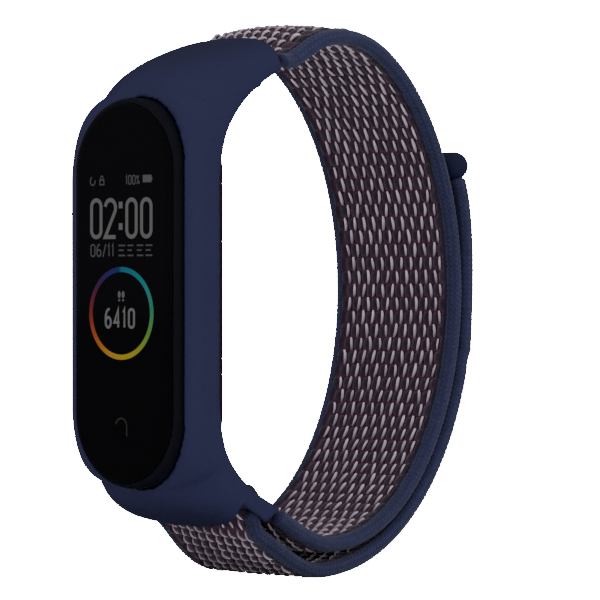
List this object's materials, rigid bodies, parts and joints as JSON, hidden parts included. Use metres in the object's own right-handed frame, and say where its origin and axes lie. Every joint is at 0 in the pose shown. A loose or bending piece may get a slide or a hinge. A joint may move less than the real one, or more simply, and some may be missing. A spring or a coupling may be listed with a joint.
{
  "type": "fitness tracker band",
  "caption": "Capsule fitness tracker in a moulded holder, on a woven loop strap that turns round two bars and closes with hook and loop tape.",
  "frame": {"origin": "centre of the wrist opening, on the wrist's axis", "axes": "+X along the wrist, to the right of a person looking at the screen; -Y is the way the screen faces; +Z along the capsule's long way, towards its top end"},
  "size_m": [0.0222, 0.052, 0.0677],
  "materials": {
    "holder_plastic": "matte navy",
    "woven_nylon": "woven, navy and plum with pale stitches",
    "braided_cord": "braided navy",
    "hook_tape": "hook tape",
    "tip_plastic": "satin navy",
    "cover_glass": "glossy black",
    "gasket_rubber": "matte",
    "clear_film": "clear",
    "display_panel": "black",
    "foam": "soft",
    "flex_circuit": "amber film",
    "case_plastic": "black, satin",
    "frame_plastic": "moulded",
    "battery_foil": "foil pouch",
    "circuit_board": "green solder mask",
    "chip_epoxy": "moulded epoxy",
    "tinned_steel": "tinned",
    "gold_contact": "gold plated",
    "led_lens": "clear green",
    "sensor_window": "smoked clear",
    "tungsten": "sintered"
  },
  "bodies": {
    "holder": {"holder_case": "holder_plastic", "strap_inner_layer": "woven_nylon", "strap_outer_layer": "woven_nylon", "edge_cords_inner": "braided_cord", "edge_cords_outer": "braided_cord", "loop_patch": "woven_nylon", "anchor_stitches": "braided_cord"},
    "capsule": {"cover_glass": "cover_glass", "glass_gasket": "gasket_rubber", "touch_film": "clear_film", "display_panel": "display_panel", "display_foam": "foam", "display_flex": "flex_circuit", "front_housing": "case_plastic", "rear_housing": "case_plastic", "inner_frame": "frame_plastic", "battery_cell": "battery_foil", "battery_guard_board": "circuit_board", "main_board": "circuit_board", "processor_chip": "chip_epoxy", "memory_chip": "chip_epoxy", "power_chip": "chip_epoxy", "motion_sensor_chip": "chip_epoxy", "shield_can": "tinned_steel", "antenna": "gold_contact", "sensor_board": "circuit_board", "sensor_flex": "flex_circuit", "green_leds": "led_lens", "photodiodes": "chip_epoxy", "light_barrier": "gasket_rubber", "sensor_window": "sensor_window", "charging_contacts": "gold_contact", "contact_springs": "gold_contact", "motor_can": "tinned_steel", "motor_cap": "tinned_steel", "motor_shaft": "tinned_steel", "motor_pad": "foam"},
    "rotor": {"motor_rotor": "tungsten"},
    "tail": {"strap_tail": "woven_nylon", "edge_cords_tail": "braided_cord", "hook_patch": "hook_tape", "tip_bar": "tip_plastic"}
  },
  "joints": [
    {"name": "capsule_slide", "type": "slide", "parent": "holder", "child": "capsule", "axis": [0, -1, 0], "range_m": [0, 0.015]},
    {"name": "motor_spin", "type": "hinge", "parent": "capsule", "child": "rotor", "pos_m": [0, -0.0259, 0.0145], "axis": [0, 1, 0], "continuous": true},
    {"name": "tail_peel", "type": "hinge", "parent": "holder", "child": "tail", "pos_m": [0, 0.02165, -0.007], "axis": [-1, 0, 0], "range_deg": [0, 60]}
  ]
}
